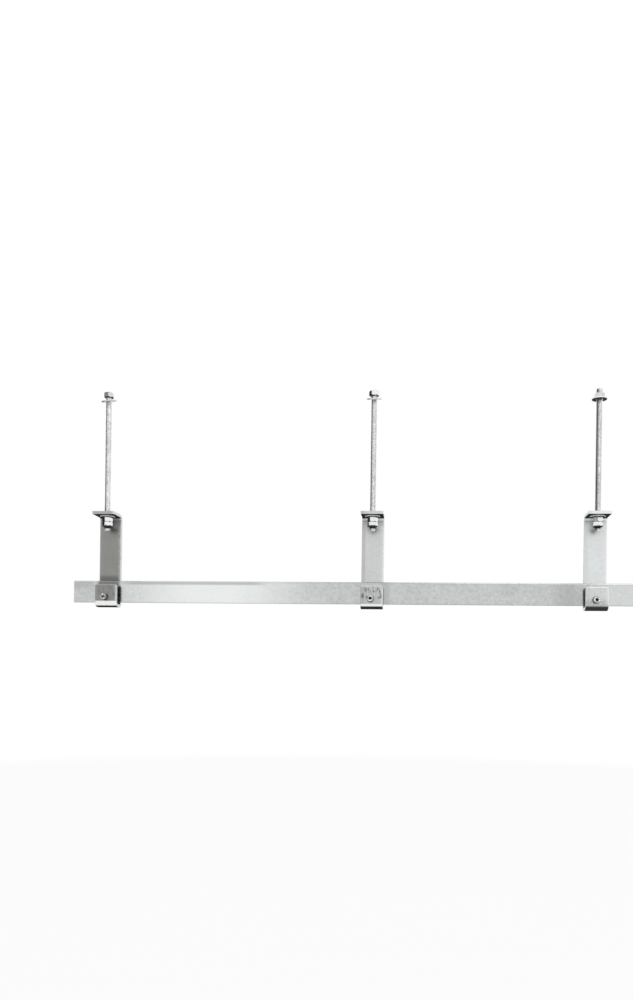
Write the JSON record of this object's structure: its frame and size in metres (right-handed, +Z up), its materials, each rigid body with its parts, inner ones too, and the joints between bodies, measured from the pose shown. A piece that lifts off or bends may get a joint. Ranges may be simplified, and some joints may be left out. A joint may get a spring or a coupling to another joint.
{
  "type": "meat hook rail",
  "caption": "Overhead flat steel rail for meat hooks, clamped in folded hangers that hang from threaded rods with levelling nuts.",
  "frame": {"origin": "on the middle hanging rod's axis, level with the underside of its top nut, which bears on the plate that carries the rail", "axes": "+X along the rail, -Y towards the open front of the hangers, +Z up"},
  "size_m": [1.523, 0.068, 0.583],
  "materials": {
    "rail_steel": "galvanised, satin",
    "hanger_steel": "galvanised, satin",
    "dull_hanger_steel": "galvanised, dull grey",
    "rod_zinc": "zinc plated, threaded",
    "fixings_zinc": "zinc plated, bright"
  },
  "bodies": {
    "rail": {"rail": "rail_steel"},
    "hanger_1": {"hanger_bar_1": "dull_hanger_steel", "lower_washer_1": "fixings_zinc"},
    "clamp_1": {"clamp_screw_1": "fixings_zinc"},
    "levelling_nut_1": {"lower_nut_1": "fixings_zinc", "lock_nut_1": "fixings_zinc"},
    "rod_1": {"hanging_rod_1": "rod_zinc", "top_nut_1": "fixings_zinc", "top_washer_1": "fixings_zinc"},
    "hanger_2": {"hanger_bar_2": "hanger_steel", "lower_washer_2": "fixings_zinc"},
    "clamp_2": {"clamp_screw_2": "fixings_zinc"},
    "levelling_nut_2": {"lower_nut_2": "fixings_zinc", "lock_nut_2": "fixings_zinc"},
    "rod_2": {"hanging_rod_2": "rod_zinc", "top_nut_2": "fixings_zinc", "top_washer_2": "fixings_zinc"},
    "hanger_3": {"hanger_bar_3": "hanger_steel", "lower_washer_3": "fixings_zinc"},
    "clamp_3": {"clamp_screw_3": "fixings_zinc"},
    "levelling_nut_3": {"lower_nut_3": "fixings_zinc", "lock_nut_3": "fixings_zinc"},
    "rod_3": {"hanging_rod_3": "rod_zinc", "top_nut_3": "fixings_zinc", "top_washer_3": "fixings_zinc"}
  },
  "joints": [
    {"name": "hanger_1_along_rail", "type": "slide", "parent": "rail", "child": "hanger_1", "axis": [1, 0, 0], "range_m": [-0.068, 0.33]},
    {"name": "clamp_screw_1_out", "type": "slide", "parent": "hanger_1", "child": "clamp_1", "axis": [0, -1, 0], "range_m": [0, 0.015]},
    {"name": "rod_1_level", "type": "slide", "parent": "hanger_1", "child": "rod_1", "axis": [0, 0, 1], "range_m": [-0.137, 0.011]},
    {"name": "levelling_nut_1_turn", "type": "hinge", "parent": "hanger_1", "child": "levelling_nut_1", "pos_m": [-0.725, 0, -0.336], "axis": [0, 0, 1], "range_deg": [-1980, 24660]},
    {"name": "hanger_2_along_rail", "type": "slide", "parent": "rail", "child": "hanger_2", "axis": [1, 0, 0], "range_m": [-0.33, 0.262]},
    {"name": "clamp_screw_2_out", "type": "slide", "parent": "hanger_2", "child": "clamp_2", "axis": [0, -1, 0], "range_m": [0, 0.015]},
    {"name": "rod_2_level", "type": "slide", "parent": "hanger_2", "child": "rod_2", "axis": [0, 0, 1], "range_m": [-0.137, 0.011]},
    {"name": "levelling_nut_2_turn", "type": "hinge", "parent": "hanger_2", "child": "levelling_nut_2", "pos_m": [0, 0, -0.336], "axis": [0, 0, 1], "range_deg": [-1980, 24660]},
    {"name": "hanger_3_along_rail", "type": "slide", "parent": "rail", "child": "hanger_3", "axis": [1, 0, 0], "range_m": [-0.262, 0.08]},
    {"name": "clamp_screw_3_out", "type": "slide", "parent": "hanger_3", "child": "clamp_3", "axis": [0, -1, 0], "range_m": [0, 0.015]},
    {"name": "rod_3_level", "type": "slide", "parent": "hanger_3", "child": "rod_3", "axis": [0, 0, 1], "range_m": [-0.137, 0.011]},
    {"name": "levelling_nut_3_turn", "type": "hinge", "parent": "hanger_3", "child": "levelling_nut_3", "pos_m": [0.59, 0, -0.336], "axis": [0, 0, 1], "range_deg": [-1980, 24660]}
  ],
  "couplings": [
    {"joint": "levelling_nut_1_turn", "follows": "rod_1_level", "rad_per_m": -3141.6},
    {"joint": "levelling_nut_2_turn", "follows": "rod_2_level", "rad_per_m": -3141.6},
    {"joint": "levelling_nut_3_turn", "follows": "rod_3_level", "rad_per_m": -3141.6}
  ]
}
